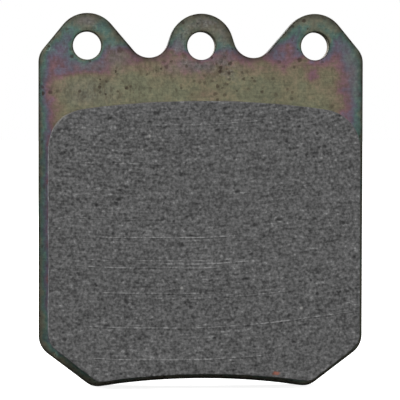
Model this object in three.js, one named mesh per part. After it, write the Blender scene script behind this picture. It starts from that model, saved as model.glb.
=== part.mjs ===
// Brake pad, three-eared pin-hung type.
// Units are millimetres, +Z up. The pad stands as it hangs in a caliper: ears
// at the top, friction face toward -Y, piston (back) face toward +Y.
// The origin is the axis of the middle pin hole, on the piston face.
//
//   backing_plate    stamped and plated steel plate with three pin holes and
//                    four moulding lock holes hidden behind the block
//   adhesive_film    cured resin film between the plate and the moulding
//   underlayer       thin moulded layer, with four plugs that run back through
//                    the film and the plate's lock holes
//   friction_block   moulded and ground friction material

import * as THREE from 'three';

// ---------------------------------------------------------------- dimensions
const PLATE_THICKNESS = 4.0;
const PLATE_HALF_WIDTH = 30.5;

// plate outline, right-hand half, corner positions and fillet radii (x, z, r)
const CENTRE_EAR_APEX_Z = 19.785;
const CENTRE_EAR_R = 6.08;
const VALLEY = [8.317, -6.02, 3.75];
const OUTER_EAR = [21.456, 9.352, 5.85];
const SHOULDER_Z = -1.69;
const SHOULDER_R = 3.85;
const LOWER_SIDE_Z = -56.46;
const LOWER_SIDE_R = 4.25;
const FOOT = [20.354, -64.154, 3.77];
const BOTTOM_EDGE_RISE = 1.61;

const PIN_HOLE_R = 2.63;
const PIN_HOLE_PITCH = 21.42;
const HOLE_SEGMENTS = 40;

const LOCK_HOLE_R = 3.25;
const LOCK_HOLE_X = 14.5;
const LOCK_HOLE_UPPER_Z = -24.0;
const LOCK_HOLE_LOWER_Z = -49.0;
const PLUG_CLEARANCE = 0.3;
const PLUG_RECESS = 0.3;

const DIE_ROLL = 0.28;          // rounded edge on the punched-in (front) side
const BACK_EDGE = 0.12;         // broken edge on the back side
const HOLE_ROLL = 0.22;

// block outline, right-hand half
const BLOCK_OFFSET_X = 0.28;
const BLOCK_HALF_WIDTH = 28.9;
const BLOCK_TOP_Z = -10.38;
const BLOCK_TOP_ARC_R = 168;
const BLOCK_TOP_CORNER_R = 7.4;
const BLOCK_LOWER_SIDE = [-55.43, 3.2];
const BLOCK_FOOT = [19.8, -62.51, 2.0];
const BLOCK_BOTTOM_RISE = 1.45;
const BLOCK_EDGE = 0.3;

// stack-up along Y, from the plate's front face outward
const GAP = 0.3;
const FILM_THICKNESS = 0.3;
const UNDERLAYER_THICKNESS = 1.5;
const FRONT_FACE_Y = -(PLATE_THICKNESS + 7.2);

// ------------------------------------------------------------------ geometry
const ARC_STEP = THREE.MathUtils.degToRad(8);

// round every corner of a closed polygon; radius 0 keeps the corner as it is
function filletPolygon(corners) {
  const out = [];
  const n = corners.length;
  for (let i = 0; i < n; i++) {
    const [x, z, r] = corners[i];
    const [px, pz] = corners[(i + n - 1) % n];
    const [nx, nz] = corners[(i + 1) % n];
    if (!r) { out.push([x, z]); continue; }
    const a = new THREE.Vector2(px - x, pz - z).normalize();
    const b = new THREE.Vector2(nx - x, nz - z).normalize();
    const half = Math.acos(THREE.MathUtils.clamp(a.dot(b), -1, 1)) / 2;
    const t = r / Math.tan(half);
    const mid = a.clone().add(b).normalize().multiplyScalar(r / Math.sin(half));
    const cx = x + mid.x, cz = z + mid.y;
    const s = Math.atan2(z + a.y * t - cz, x + a.x * t - cx);
    let e = Math.atan2(z + b.y * t - cz, x + b.x * t - cx);
    while (e - s > Math.PI) e -= 2 * Math.PI;
    while (e - s < -Math.PI) e += 2 * Math.PI;
    const k = Math.max(3, Math.ceil(Math.abs(e - s) / ARC_STEP));
    for (let j = 0; j <= k; j++) {
      const u = s + (e - s) * j / k;
      out.push([cx + r * Math.cos(u), cz + r * Math.sin(u)]);
    }
  }
  return out;
}

// mirror a right-hand half (listed from the top centre down to the bottom
// centre, corners only) into a full clockwise polygon
function mirrored(half) {
  const left = half.filter(c => Math.abs(c[0]) > 1e-9).map(([x, z, r]) => [-x, z, r]).reverse();
  return [...half, ...left];
}

function offsetInward(points, d) {
  const n = points.length;
  const area = points.reduce((s, [x, z], i) => {
    const [u, v] = points[(i + 1) % n];
    return s + x * v - u * z;
  }, 0);
  const side = area > 0 ? 1 : -1;
  return points.map(([x, z], i) => {
    const [px, pz] = points[(i + n - 1) % n];
    const [nx, nz] = points[(i + 1) % n];
    const a = new THREE.Vector2(x - px, z - pz).normalize();
    const b = new THREE.Vector2(nx - x, nz - z).normalize();
    const m = new THREE.Vector2(-a.y - b.y, a.x + b.x).normalize();
    const scale = 1 / Math.max(0.5, m.dot(new THREE.Vector2(-a.y, a.x)));
    return [x + side * m.x * d * scale, z + side * m.y * d * scale];
  });
}

function circle(cx, cz, r, segments = HOLE_SEGMENTS) {
  return Array.from({ length: segments }, (_, i) => {
    const u = 2 * Math.PI * i / segments;
    return [cx + r * Math.cos(u), cz + r * Math.sin(u)];
  });
}

const isCounterClockwise = pts => pts.reduce((s, [x, z], i) => {
  const [u, v] = pts[(i + 1) % pts.length];
  return s + x * v - u * z;
}, 0) > 0;
const asCounterClockwise = pts => (isCounterClockwise(pts) ? pts : [...pts].reverse());

// A prism-like body. `rings` is a list of {y, points} from the front (most
// negative y) to the back; each hole is a list of the same kind of rings that
// opens on the front cap, the back cap, or both. Walls are stitched ring to
// ring and the end caps are triangulated with the hole mouths left open.
class Body {
  constructor() { this.position = []; }
  triangle(a, b, c) { this.position.push(...a, ...b, ...c); }
  wall(rings, outward) {
    for (let k = 0; k + 1 < rings.length; k++) {
      const p = rings[k], q = rings[k + 1];
      const n = p.points.length;
      for (let i = 0; i < n; i++) {
        const j = (i + 1) % n;
        const a = [p.points[i][0], p.y, p.points[i][1]];
        const b = [p.points[j][0], p.y, p.points[j][1]];
        const c = [q.points[j][0], q.y, q.points[j][1]];
        const d = [q.points[i][0], q.y, q.points[i][1]];
        if (outward) { this.triangle(a, c, b); this.triangle(a, d, c); }
        else { this.triangle(a, b, c); this.triangle(a, c, d); }
      }
    }
  }
  cap(y, contour, holes, facing) {
    const c = contour.map(p => new THREE.Vector2(...p));
    const h = holes.map(r => [...r].reverse().map(p => new THREE.Vector2(...p)));
    const faces = THREE.ShapeUtils.triangulateShape(c, h);
    const all = [...c, ...h.flat()];
    for (const f of faces) {
      const [p, q, r] = f.map(i => [all[i].x, y, all[i].y]);
      // a counter-clockwise triangle in (x, z) faces -Y
      const area = (q[0] - p[0]) * (r[2] - p[2]) - (r[0] - p[0]) * (q[2] - p[2]);
      if ((area > 0) === (facing < 0)) this.triangle(p, q, r);
      else this.triangle(p, r, q);
    }
  }
  geometry() {
    const g = new THREE.BufferGeometry();
    g.setAttribute('position', new THREE.Float32BufferAttribute(this.position, 3));
    g.computeVertexNormals();
    return g;
  }
}

function solid(name, geometry, colour, roughness, metalness) {
  const m = new THREE.Mesh(geometry, new THREE.MeshStandardMaterial({ color: colour, roughness, metalness }));
  m.name = name;
  return m;
}

// ------------------------------------------------------------------ outlines
function plateOutline() {
  const half = [
    [0, CENTRE_EAR_APEX_Z, CENTRE_EAR_R],
    VALLEY,
    OUTER_EAR,
    [PLATE_HALF_WIDTH, SHOULDER_Z, SHOULDER_R],
    [PLATE_HALF_WIDTH, LOWER_SIDE_Z, LOWER_SIDE_R],
    FOOT,
  ];
  const steps = 8;
  for (let i = 1; i <= steps; i++) {
    const x = FOOT[0] * (1 - i / steps) * 0.82;
    half.push([x, FOOT[1] + BOTTOM_EDGE_RISE * (1 - (x / FOOT[0]) ** 2), 0]);
  }
  return asCounterClockwise(filletPolygon(mirrored(half)));
}

function blockOutline() {
  const topZ = x => BLOCK_TOP_Z - x * x / (2 * BLOCK_TOP_ARC_R);
  const half = [];
  const topSteps = 7, topEnd = BLOCK_HALF_WIDTH - BLOCK_TOP_CORNER_R - 1.2;
  for (let i = 0; i <= topSteps; i++) {
    const x = topEnd * i / topSteps;
    half.push([x, topZ(x), 0]);
  }
  half.push([BLOCK_HALF_WIDTH, topZ(BLOCK_HALF_WIDTH), BLOCK_TOP_CORNER_R]);
  half.push([BLOCK_HALF_WIDTH, ...BLOCK_LOWER_SIDE]);
  half.push(BLOCK_FOOT);
  const steps = 6;
  for (let i = 1; i <= steps; i++) {
    const x = BLOCK_FOOT[0] * (1 - i / steps) * 0.86;
    half.push([x, BLOCK_FOOT[1] + BLOCK_BOTTOM_RISE * (1 - (x / BLOCK_FOOT[0]) ** 2), 0]);
  }
  return asCounterClockwise(filletPolygon(mirrored(half)).map(([x, z]) => [x + BLOCK_OFFSET_X, z]));
}

const lockCentres = [
  [-LOCK_HOLE_X, LOCK_HOLE_UPPER_Z], [LOCK_HOLE_X, LOCK_HOLE_UPPER_Z],
  [-LOCK_HOLE_X, LOCK_HOLE_LOWER_Z], [LOCK_HOLE_X, LOCK_HOLE_LOWER_Z],
];

// ------------------------------------------------------------- backing plate
function backingPlate() {
  const body = new Body();
  const outline = plateOutline();
  const front = -PLATE_THICKNESS, back = 0;
  const outer = [
    { y: front, points: offsetInward(outline, DIE_ROLL) },
    { y: front + DIE_ROLL * 0.32, points: offsetInward(outline, DIE_ROLL * 0.32) },
    { y: front + DIE_ROLL, points: outline },
    { y: back - BACK_EDGE, points: outline },
    { y: back, points: offsetInward(outline, BACK_EDGE) },
  ];
  body.wall(outer, true);
  const holes = [-PIN_HOLE_PITCH, 0, PIN_HOLE_PITCH].map(x => [
    { y: front, points: circle(x, 0, PIN_HOLE_R + HOLE_ROLL) },
    { y: front + HOLE_ROLL, points: circle(x, 0, PIN_HOLE_R) },
    { y: back - BACK_EDGE, points: circle(x, 0, PIN_HOLE_R) },
    { y: back, points: circle(x, 0, PIN_HOLE_R + BACK_EDGE) },
  ]);
  for (const [x, z] of lockCentres) {
    holes.push([
      { y: front, points: circle(x, z, LOCK_HOLE_R) },
      { y: back, points: circle(x, z, LOCK_HOLE_R) },
    ]);
  }
  for (const h of holes) body.wall(h, false);
  body.cap(front, outer[0].points, holes.map(h => h[0].points), -1);
  body.cap(back, outer.at(-1).points, holes.map(h => h.at(-1).points), 1);
  return solid('backing_plate', body.geometry(), 0x7b7760, 0.42, 0.85);
}

// ------------------------------------------------------------- adhesive film
const filmFront = -(PLATE_THICKNESS + GAP + FILM_THICKNESS);
const filmBack = -(PLATE_THICKNESS + GAP);

function adhesiveFilm() {
  const body = new Body();
  const outline = offsetInward(blockOutline(), 0.25);
  const r = LOCK_HOLE_R;
  body.wall([{ y: filmFront, points: outline }, { y: filmBack, points: outline }], true);
  const holes = lockCentres.map(([x, z]) => [
    { y: filmFront, points: circle(x, z, r) }, { y: filmBack, points: circle(x, z, r) }]);
  for (const h of holes) body.wall(h, false);
  body.cap(filmFront, outline, holes.map(h => h[0].points), -1);
  body.cap(filmBack, outline, holes.map(h => h[0].points), 1);
  return solid('adhesive_film', body.geometry(), 0x4a3320, 0.55, 0.0);
}

// ---------------------------------------------------------------- underlayer
const underBack = filmFront - GAP;
const underFront = underBack - UNDERLAYER_THICKNESS;

function underlayer() {
  const body = new Body();
  const outline = blockOutline();
  const r = LOCK_HOLE_R - PLUG_CLEARANCE;
  body.wall([{ y: underFront, points: outline }, { y: underBack, points: outline }], true);
  body.cap(underFront, outline, [], -1);
  const roots = lockCentres.map(([x, z]) => circle(x, z, r));
  body.cap(underBack, outline, roots, 1);
  const end = -PLUG_RECESS, edge = 0.2;
  lockCentres.forEach(([x, z], i) => {
    const rings = [
      { y: underBack, points: roots[i] },
      { y: end - edge, points: roots[i] },
      { y: end, points: circle(x, z, r - edge) },
    ];
    body.wall(rings, true);
    body.cap(end, rings[2].points, [], 1);
  });
  return solid('underlayer', body.geometry(), 0x3b3a38, 0.9, 0.0);
}

// ------------------------------------------------------------ friction block
const blockBack = underFront - GAP;

function frictionBlock() {
  const body = new Body();
  const outline = blockOutline();
  const rings = [
    { y: FRONT_FACE_Y, points: offsetInward(outline, BLOCK_EDGE) },
    { y: FRONT_FACE_Y + BLOCK_EDGE, points: outline },
    { y: blockBack, points: outline },
  ];
  body.wall(rings, true);
  body.cap(FRONT_FACE_Y, rings[0].points, [], -1);
  body.cap(blockBack, outline, [], 1);
  return solid('friction_block', body.geometry(), 0x5c5c5c, 0.88, 0.05);
}

const pad = new THREE.Group();
pad.name = 'brake_pad';
pad.add(backingPlate(), adhesiveFilm(), underlayer(), frictionBlock());

export default pad;
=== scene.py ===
import math

import bpy
import numpy as np
from mathutils import Matrix, Vector
from mathutils.geometry import delaunay_2d_cdt


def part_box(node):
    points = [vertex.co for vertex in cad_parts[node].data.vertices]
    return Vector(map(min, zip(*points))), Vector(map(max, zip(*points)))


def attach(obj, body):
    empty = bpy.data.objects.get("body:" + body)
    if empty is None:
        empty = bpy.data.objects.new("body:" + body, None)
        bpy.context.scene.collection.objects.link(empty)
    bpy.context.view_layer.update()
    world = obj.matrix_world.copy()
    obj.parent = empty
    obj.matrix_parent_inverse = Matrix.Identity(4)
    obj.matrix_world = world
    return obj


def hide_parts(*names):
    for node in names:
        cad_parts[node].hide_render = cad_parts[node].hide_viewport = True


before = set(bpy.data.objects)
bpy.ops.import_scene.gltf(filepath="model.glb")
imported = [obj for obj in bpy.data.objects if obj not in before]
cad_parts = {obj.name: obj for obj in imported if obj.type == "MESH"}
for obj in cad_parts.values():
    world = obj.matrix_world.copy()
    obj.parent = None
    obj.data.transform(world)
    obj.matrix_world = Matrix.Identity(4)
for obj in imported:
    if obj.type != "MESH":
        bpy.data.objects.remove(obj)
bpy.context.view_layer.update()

MM = 0.001

# ------------------------------------------------------------------ the frame
plate_lo, plate_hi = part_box("backing_plate")
block_lo, block_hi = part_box("friction_block")
under_lo, under_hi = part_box("underlayer")

PLATE_FRONT = plate_lo.y / MM          # -4.0
PLATE_BACK = plate_hi.y / MM           # 0
HALF_W = plate_hi.x / MM               # 30.5
BLOCK_FRONT = block_lo.y / MM          # -11.2
BLOCK_X = (block_lo.x + block_hi.x) / 2 / MM
BLOCK_HW = (block_hi.x - block_lo.x) / 2 / MM
BLOCK_TOP = block_hi.z / MM
PLY_LINE = (block_hi.y + under_lo.y) / 2 / MM    # where block and underlayer meet
LOCKS = [(-14.5, -24.0), (14.5, -24.0), (-14.5, -49.0), (14.5, -49.0)]
LOCK_R = 3.25
PIN_R = 2.63
PIN_PITCH = 21.42
PINS = [(-PIN_PITCH, 0.0), (0.0, 0.0), (PIN_PITCH, 0.0)]

rng = np.random.default_rng(7)


# --------------------------------------------------------------------- noise
def _hash(ix, iy, iz, seed):
    h = (ix * 374761393 + iy * 668265263 + iz * 2147483647 + seed * 1274126177) & 0xFFFFFFFF
    h = ((h ^ (h >> 13)) * 1274126177) & 0xFFFFFFFF
    h = ((h ^ (h >> 16)) * 2246822519) & 0xFFFFFFFF
    return ((h ^ (h >> 15)) & 0xFFFFFF) / float(0xFFFFFF)


def vnoise(x, y, z=0.0, seed=0):
    """smooth value noise, -1..1"""
    x, y, z = np.broadcast_arrays(np.asarray(x, float), np.asarray(y, float), np.asarray(z, float))
    ix, iy, iz = np.floor(x).astype(np.int64), np.floor(y).astype(np.int64), np.floor(z).astype(np.int64)
    fx, fy, fz = x - ix, y - iy, z - iz
    fx, fy, fz = (f * f * (3 - 2 * f) for f in (fx, fy, fz))
    out = 0.0
    for dx in (0, 1):
        wx = fx if dx else 1 - fx
        for dy in (0, 1):
            wy = fy if dy else 1 - fy
            for dz in (0, 1):
                wz = fz if dz else 1 - fz
                out = out + wx * wy * wz * _hash(ix + dx, iy + dy, iz + dz, seed)
    return out * 2 - 1


def fbm(x, y, z=0.0, seed=0, octaves=3, gain=0.5):
    total, amp, norm = 0.0, 1.0, 0.0
    for o in range(octaves):
        f = 2.03 ** o
        total = total + amp * vnoise(x * f, y * f, np.asarray(z) * f, seed + 17 * o)
        norm += amp
        amp *= gain
    return total / norm


def smooth(e0, e1, v):
    t = np.clip((v - e0) / (e1 - e0), 0, 1)
    return t * t * (3 - 2 * t)


# ------------------------------------------------------------------ outlines
def fillet_polygon(corners, step=math.radians(3.0)):
    out, n = [], len(corners)
    for i in range(n):
        x, z, r = corners[i]
        if not r:
            out.append((x, z))
            continue
        p = Vector((corners[i - 1][0] - x, corners[i - 1][1] - z)).normalized()
        q = Vector((corners[(i + 1) % n][0] - x, corners[(i + 1) % n][1] - z)).normalized()
        half = math.acos(max(-1, min(1, p.dot(q)))) / 2
        t = r / math.tan(half)
        mid = (p + q).normalized() * (r / math.sin(half))
        cx, cz = x + mid.x, z + mid.y
        s = math.atan2(z + p.y * t - cz, x + p.x * t - cx)
        e = math.atan2(z + q.y * t - cz, x + q.x * t - cx)
        while e - s > math.pi:
            e -= 2 * math.pi
        while e - s < -math.pi:
            e += 2 * math.pi
        k = max(4, math.ceil(abs(e - s) / step))
        for j in range(k + 1):
            u = s + (e - s) * j / k
            out.append((cx + r * math.cos(u), cz + r * math.sin(u)))
    return out


def mirrored(half):
    return half + [(-x, z, r) for x, z, r in reversed(half) if abs(x) > 1e-9]


def area2(p):
    q = np.roll(p, -1, axis=0)
    return float((p[:, 0] * q[:, 1] - q[:, 0] * p[:, 1]).sum())


def resample(points, step):
    """the closed curve again with even spacing, counter-clockwise in (x, z)"""
    p = np.asarray(points, float)
    keep = np.linalg.norm(p - np.roll(p, 1, axis=0), axis=1) > 1e-6
    p = p[keep]
    if area2(p) < 0:
        p = p[::-1]
    closed = np.vstack([p, p[:1]])
    d = np.concatenate([[0], np.cumsum(np.linalg.norm(np.diff(closed, axis=0), axis=1))])
    n = int(round(d[-1] / step))
    s = np.arange(n) * d[-1] / n
    return np.stack([np.interp(s, d, closed[:, 0]), np.interp(s, d, closed[:, 1])], 1)


def normals2(p):
    """outward unit normals of a counter-clockwise closed curve"""
    t = np.roll(p, -1, axis=0) - np.roll(p, 1, axis=0)
    t /= np.linalg.norm(t, axis=1)[:, None]
    return np.stack([t[:, 1], -t[:, 0]], 1)


def plate_outline(step):
    fx, fz, rise = 20.354, -64.154, 1.61
    half = [(0, 19.785, 6.08), (8.317, -6.02, 3.75), (21.456, 9.352, 5.85),
            (HALF_W, -1.69, 3.85), (HALF_W, -56.46, 4.25), (fx, fz, 3.77)]
    for i in range(1, 17):
        x = fx * (1 - i / 16) * 0.82
        half.append((x, fz + rise * (1 - (x / fx) ** 2), 0))
    return resample(fillet_polygon(mirrored(half)), step)


def block_outline(step):
    top = lambda x: BLOCK_TOP - x * x / (2 * 168)
    half = []
    end = BLOCK_HW - 7.4 - 1.2
    for i in range(15):
        half.append((end * i / 14, top(end * i / 14), 0))
    half += [(BLOCK_HW, top(BLOCK_HW), 7.4), (BLOCK_HW, -55.43, 3.2), (19.8, -62.51, 2.0)]
    for i in range(1, 13):
        x = 19.8 * (1 - i / 12) * 0.86
        half.append((x, -62.51 + 1.45 * (1 - (x / 19.8) ** 2), 0))
    p = resample(fillet_polygon(mirrored(half)), step)
    p[:, 0] += BLOCK_X
    return p


def circle(c, r, n):
    u = np.arange(n) * 2 * math.pi / n
    return np.stack([c[0] + r * np.cos(u), c[1] + r * np.sin(u)], 1)


def inside(poly, pts):
    x, z = pts[:, 0][:, None], pts[:, 1][:, None]
    ax, az = poly[:, 0][None], poly[:, 1][None]
    bx, bz = np.roll(poly[:, 0], -1)[None], np.roll(poly[:, 1], -1)[None]
    out = np.zeros(len(pts), bool)
    with np.errstate(divide="ignore", invalid="ignore"):
        for s in range(0, len(pts), 4000):
            xs, zs = x[s:s + 4000], z[s:s + 4000]
            hit = ((az > zs) != (bz > zs)) & (xs < (bx - ax) * (zs - az) / (bz - az) + ax)
            out[s:s + 4000] = hit.sum(1) % 2 == 1
    return out


def distance(poly, pts):
    """distance from each point to a closed curve"""
    a, b = poly, np.roll(poly, -1, axis=0)
    ab = b - a
    ll = (ab ** 2).sum(1)
    out = np.empty(len(pts))
    for s in range(0, len(pts), 2000):
        p = pts[s:s + 2000][:, None]
        t = np.clip(((p - a[None]) * ab[None]).sum(2) / ll[None], 0, 1)
        out[s:s + 2000] = np.sqrt(((p - (a[None] + t[..., None] * ab[None])) ** 2).sum(2).min(1))
    return out


def fill(loops, step, margin, jitter=0.0, hexed=True):
    """Triangulates the flat region between an outer loop and its holes, with even inner points. Returns points and triangles; the loops' points come first, in order."""
    outer = loops[0]
    lo, hi = outer.min(0), outer.max(0)
    rows = np.arange(lo[1], hi[1], step * (0.866 if hexed else 1))
    grid = []
    for j, z in enumerate(rows):
        xs = np.arange(lo[0] + (step / 2 if hexed and j % 2 else 0), hi[0], step)
        grid.append(np.stack([xs, np.full_like(xs, z)], 1))
    g = np.concatenate(grid)
    if jitter:
        g = g + np.random.default_rng(3).uniform(-jitter, jitter, g.shape)
    ok = inside(outer, g) & (distance(outer, g) > margin)
    for h in loops[1:]:
        ok &= ~inside(h, g) & (distance(h, g) > margin)
    g = g[ok]
    base = np.concatenate(loops)
    edges, start = [], 0
    for l in loops:
        n = len(l)
        edges += [(start + i, start + (i + 1) % n) for i in range(n)]
        start += n
    pts = np.concatenate([base, g])
    res = delaunay_2d_cdt([Vector(p) for p in pts.tolist()], edges, [], 0, 1e-7)
    verts = np.array([list(v) for v in res[0]])
    tris = np.array([f for f in res[2] if len(f) == 3])
    cen = verts[tris].mean(1)
    keep = inside(outer, cen)
    for h in loops[1:]:
        keep &= ~inside(h, cen)
    tris = tris[keep]
    # back to the order that was given
    orig = np.full(len(verts), -1)
    for k, o in enumerate(res[3]):
        if o:
            orig[k] = o[0]
    tris = orig[tris]
    return pts, tris[(tris >= 0).all(1)]


class Builder:
    """collects points and faces of one mesh, in millimetres"""

    def __init__(self):
        self.v, self.f, self.att, self.n = [], [], {}, 0

    def add(self, xyz, **att):
        xyz = np.asarray(xyz, float)
        start = self.n
        self.v.append(xyz)
        self.n += len(xyz)
        for k in set(self.att) | set(att):
            self.att.setdefault(k, [np.zeros(start)] if start else [])
            self.att[k].append(np.broadcast_to(np.asarray(att.get(k, 0.0), float), (len(xyz),)))
        return start

    def band(self, a, b, n, flip=False):
        """quads between two closed rings of n points that start at a and b"""
        i = np.arange(n)
        j = (i + 1) % n
        q = np.stack([a + i, b + i, b + j, a + j], 1)
        self.f.append(q[:, ::-1] if flip else q)

    def tris(self, t, start, index=None, flip=False):
        t = np.asarray(t)
        t = index[t] if index is not None else t + start
        self.f.append(t[:, ::-1] if flip else t)

    def mesh(self, name, material, angle=None):
        v = np.concatenate(self.v) * MM
        faces = [tuple(int(i) for i in f) for block in self.f for f in block]
        me = bpy.data.meshes.new(name)
        me.from_pydata(v.tolist(), [], faces)
        for k, parts in self.att.items():
            a = me.attributes.new(k, "FLOAT", "POINT")
            a.data.foreach_set("value", np.concatenate(parts).astype(np.float32))
        me.validate()
        me.shade_smooth()
        me.materials.append(material)
        ob = bpy.data.objects.new(name, me)
        bpy.context.scene.collection.objects.link(ob)
        if angle:
            me.set_sharp_from_angle(angle=math.radians(angle))
        return ob


# ----------------------------------------------------------- shader utilities
class Tree:
    def __init__(self, name):
        self.mat = bpy.data.materials.new(name)
        self.mat.use_nodes = True
        self.t = self.mat.node_tree
        self.t.nodes.clear()
        self.out = self.t.nodes.new("ShaderNodeOutputMaterial")
        self.bsdf = self.t.nodes.new("ShaderNodeBsdfPrincipled")
        self.t.links.new(self.bsdf.outputs[0], self.out.inputs["Surface"])
        self.co = self.t.nodes.new("ShaderNodeTexCoord").outputs["Object"]

    def link(self, a, b):
        self.t.links.new(a, b)

    def put(self, socket, value):
        if hasattr(value, "is_output") or hasattr(value, "links"):
            self.link(value, socket)
        else:
            socket.default_value = value

    def math(self, op, a, b=0.0, c=None, clamp=False):
        n = self.t.nodes.new("ShaderNodeMath")
        n.operation, n.use_clamp = op, clamp
        self.put(n.inputs[0], a)
        self.put(n.inputs[1], b)
        if c is not None:
            self.put(n.inputs[2], c)
        return n.outputs[0]

    def remap(self, v, a, b, c=0.0, d=1.0, smoothstep=True):
        n = self.t.nodes.new("ShaderNodeMapRange")
        n.interpolation_type = "SMOOTHSTEP" if smoothstep else "LINEAR"
        self.put(n.inputs["Value"], v)
        for k, x in zip(("From Min", "From Max", "To Min", "To Max"), (a, b, c, d)):
            self.put(n.inputs[k], x)
        return n.outputs["Result"]

    def mapping(self, scale=(1, 1, 1), rot=(0, 0, 0), loc=(0, 0, 0), vec=None):
        n = self.t.nodes.new("ShaderNodeMapping")
        self.link(vec or self.co, n.inputs["Vector"])
        n.inputs["Scale"].default_value = scale
        n.inputs["Rotation"].default_value = rot
        n.inputs["Location"].default_value = loc
        return n.outputs[0]

    def noise(self, size_mm, detail=2.0, rough=0.5, vec=None, w=None, distortion=0.0):
        n = self.t.nodes.new("ShaderNodeTexNoise")
        self.link(vec or self.co, n.inputs["Vector"])
        n.inputs["Scale"].default_value = 1000.0 / size_mm
        n.inputs["Detail"].default_value = detail
        n.inputs["Roughness"].default_value = rough
        n.inputs["Distortion"].default_value = distortion
        return n.outputs["Fac"]

    def voronoi(self, size_mm, feature="F1", rand=1.0, vec=None, out="Distance"):
        n = self.t.nodes.new("ShaderNodeTexVoronoi")
        n.feature = feature
        if vec is not None:
            n.voronoi_dimensions = "2D"
        self.link(vec or self.co, n.inputs["Vector"])
        n.inputs["Scale"].default_value = 1000.0 / size_mm
        n.inputs["Randomness"].default_value = rand
        return n.outputs[out]

    def attr(self, name):
        n = self.t.nodes.new("ShaderNodeAttribute")
        n.attribute_name = name
        return n.outputs["Fac"]

    def ramp(self, fac, stops, mode="LINEAR"):
        n = self.t.nodes.new("ShaderNodeValToRGB")
        n.color_ramp.interpolation = mode
        e = n.color_ramp.elements
        while len(e) < len(stops):
            e.new(0.5)
        for k, (p, c) in enumerate(stops):
            e[k].position = p
            e[k].color = (*c[:3], 1.0)
        self.link(fac, n.inputs["Fac"])
        return n.outputs["Color"]

    def mix(self, fac, a, b, blend="MIX"):
        n = self.t.nodes.new("ShaderNodeMix")
        n.data_type, n.blend_type = "RGBA", blend
        n.clamp_factor = True
        self.put(n.inputs["Factor"], fac)
        for s, v in ((n.inputs[6], a), (n.inputs[7], b)):
            if hasattr(v, "links"):
                self.link(v, s)
            else:
                s.default_value = (*v[:3], 1.0)
        return n.outputs[2]

    def bump(self, height, dist_mm, strength=1.0, normal=None):
        n = self.t.nodes.new("ShaderNodeBump")
        n.inputs["Strength"].default_value = strength
        n.inputs["Distance"].default_value = dist_mm * MM
        self.link(height, n.inputs["Height"])
        if normal is not None:
            self.link(normal, n.inputs["Normal"])
        return n.outputs["Normal"]


def srgb(r, g, b, k=1.0):
    lin = lambda c: (c / 255 / 12.92) if c / 255 <= 0.04045 else ((c / 255 + 0.055) / 1.055) ** 2.4
    return tuple(min(1.0, lin(c) * k) for c in (r, g, b))


# ------------------------------------------------------------ plate material
PLATE_K = 0.735      # from how bright the coating should look to its base colour


# the larger dark spots on the front: x, z, radius (mm), strength
SPOTS = [
    (3.5, -4.8, 0.36, 1.0), (5.4, -3.3, 0.32, 0.85), (5.25, -5.1, 0.32, 0.9), (4.3, -2.1, 0.30, 0.6), (-0.5, -3.0, 0.34, 0.5),
    (-6.6, -4.0, 0.36, 0.75), (0.55, -5.6, 0.30, 0.55), (-1.3, -6.6, 0.26, 0.45), (-0.3, -6.85, 0.26, 0.45), (0.6, -6.95, 0.26, 0.5),
    (2.0, -6.6, 0.28, 0.55), (3.05, -7.6, 0.32, 0.85), (2.65, -9.0, 0.32, 0.7), (4.4, -9.25, 0.30, 0.65), (3.05, -10.1, 0.28, 0.8),
    (-4.7, -8.3, 0.28, 0.6), (-3.8, -7.5, 0.26, 0.45), (-1.75, -9.1, 0.26, 0.55), (-7.05, -3.1, 0.26, 0.55), (-3.5, -1.6, 0.26, 0.6),
    (4.55, -7.05, 0.26, 0.5), (8.0, -6.2, 0.26, 0.75), (10.05, -6.6, 0.26, 0.65), (-24.2, -2.1, 0.34, 0.8), (-17.8, -6.7, 0.26, 0.65),
    (-15.9, -4.25, 0.24, 0.5), (-15.9, -5.4, 0.24, 0.5), (-28.3, -8.8, 0.36, 0.75), (-25.2, 3.0, 0.26, 0.55), (-15.3, -0.9, 0.50, 0.7),
    (-21.9, -9.6, 0.28, 0.5), (-27.0, -8.6, 0.24, 0.5), (18.5, -2.6, 0.38, 0.85), (14.7, -3.0, 0.34, 0.65), (15.5, -3.95, 0.26, 0.5),
    (17.5, -3.95, 0.30, 0.65), (16.2, -8.1, 0.28, 0.55), (17.1, -9.9, 0.30, 0.65), (13.45, -6.15, 0.28, 0.55), (24.5, -11.4, 0.42, 0.6),
]


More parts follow.
